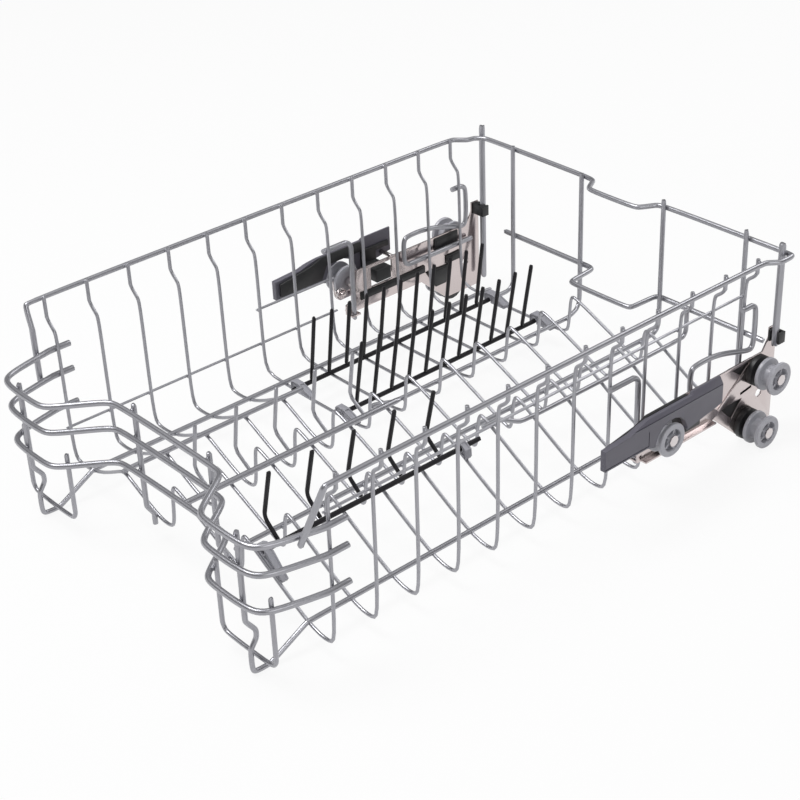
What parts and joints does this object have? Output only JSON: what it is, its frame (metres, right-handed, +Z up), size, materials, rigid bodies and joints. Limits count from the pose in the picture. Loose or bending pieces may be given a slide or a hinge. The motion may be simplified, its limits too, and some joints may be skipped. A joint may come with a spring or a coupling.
{
  "type": "dishwasher basket",
  "caption": "Upper dishwasher basket of bent and welded wire with a stepped floor, fold-down tine rows and a height-adjustable roller carriage on each side.",
  "frame": {"origin": "middle of the footprint, on the floor under the front feet and the lower rear rollers", "axes": "+X to the right seen from the handle side, +Y to the back, +Z up"},
  "size_m": [0.4006, 0.5219, 0.169],
  "materials": {
    "wire": "smooth silver-grey coating",
    "clip": "grey moulded plastic",
    "tine": "anthracite coating",
    "plate": "bright stainless sheet",
    "steel": "bright steel",
    "lever": "slate-grey moulded plastic",
    "shoe": "black moulded plastic",
    "roller": "grey moulded plastic"
  },
  "bodies": {
    "basket": {"cross_wires_front": "wire", "cross_wires_rear": "wire", "rim_wire": "wire", "front_rails": "wire", "foot_rails": "wire", "foot_loops": "wire", "recess_uprights": "wire", "left_hump_rail": "wire", "centre_rail": "wire", "post_rails": "wire", "right_rail": "wire", "back_wire": "wire", "back_posts": "wire", "corner_posts": "wire", "side_wires": "wire", "fixed_tines": "wire", "guide_wires_front": "wire", "guide_wires_rear": "wire", "row_1_clips": "clip", "row_2_clips": "clip", "row_3_clips": "clip"},
    "tine_row_1": {"tine_row_1": "tine"},
    "tine_row_2": {"tine_row_2": "tine"},
    "tine_row_3": {"tine_row_3": "tine"},
    "carriage_left": {"carriage_plate_left": "plate", "roller_axles_left": "steel", "lever_pin_left": "steel", "guide_shoe_left": "shoe", "spring_left": "steel"},
    "lever_left": {"lever_left": "lever", "latch_left": "shoe"},
    "front_roller_left": {"front_roller_left": "roller"},
    "upper_roller_left": {"upper_roller_left": "roller"},
    "lower_roller_left": {"lower_roller_left": "roller"},
    "carriage_right": {"carriage_plate_right": "plate", "roller_axles_right": "steel", "lever_pin_right": "steel", "guide_shoe_right": "shoe", "spring_right": "steel"},
    "lever_right": {"lever_right": "lever", "latch_right": "shoe"},
    "front_roller_right": {"front_roller_right": "roller"},
    "upper_roller_right": {"upper_roller_right": "roller"},
    "lower_roller_right": {"lower_roller_right": "roller"}
  },
  "joints": [
    {"name": "tine_row_1_fold", "type": "hinge", "parent": "basket", "child": "tine_row_1", "pos_m": [-0.119, 0.1, 0.0215], "axis": [0, -1, 0], "range_deg": [0, 48]},
    {"name": "tine_row_2_fold", "type": "hinge", "parent": "basket", "child": "tine_row_2", "pos_m": [-0.06, 0.1, 0.0215], "axis": [0, -1, 0], "range_deg": [0, 48]},
    {"name": "tine_row_3_fold", "type": "hinge", "parent": "basket", "child": "tine_row_3", "pos_m": [0.086, -0.1, 0.05354], "axis": [0, -1, 0], "range_deg": [0, 50]},
    {"name": "carriage_left_lift", "type": "slide", "parent": "basket", "child": "carriage_left", "axis": [0, 0, 1], "range_m": [0, 0.045]},
    {"name": "lever_left_release", "type": "hinge", "parent": "carriage_left", "child": "lever_left", "pos_m": [-0.195, 0.155, 0.0692], "axis": [-1, 0, 0], "range_deg": [0, 6], "stiffness_Nm_per_rad": 0.15, "springref_deg": -17.19},
    {"name": "front_roller_left_spin", "type": "hinge", "parent": "carriage_left", "child": "front_roller_left", "pos_m": [-0.191, 0.107, 0.0595], "axis": [-1, 0, 0], "continuous": true},
    {"name": "upper_roller_left_spin", "type": "hinge", "parent": "carriage_left", "child": "upper_roller_left", "pos_m": [-0.191, 0.237, 0.0595], "axis": [-1, 0, 0], "continuous": true},
    {"name": "lower_roller_left_spin", "type": "hinge", "parent": "carriage_left", "child": "lower_roller_left", "pos_m": [-0.191, 0.2265, 0.014], "axis": [-1, 0, 0], "continuous": true},
    {"name": "carriage_right_lift", "type": "slide", "parent": "basket", "child": "carriage_right", "axis": [0, 0, 1], "range_m": [0, 0.045]},
    {"name": "lever_right_release", "type": "hinge", "parent": "carriage_right", "child": "lever_right", "pos_m": [0.195, 0.155, 0.0692], "axis": [-1, 0, 0], "range_deg": [0, 6], "stiffness_Nm_per_rad": 0.15, "springref_deg": -17.19},
    {"name": "front_roller_right_spin", "type": "hinge", "parent": "carriage_right", "child": "front_roller_right", "pos_m": [0.191, 0.107, 0.0595], "axis": [1, 0, 0], "continuous": true},
    {"name": "upper_roller_right_spin", "type": "hinge", "parent": "carriage_right", "child": "upper_roller_right", "pos_m": [0.191, 0.237, 0.0595], "axis": [1, 0, 0], "continuous": true},
    {"name": "lower_roller_right_spin", "type": "hinge", "parent": "carriage_right", "child": "lower_roller_right", "pos_m": [0.191, 0.2265, 0.014], "axis": [1, 0, 0], "continuous": true}
  ]
}
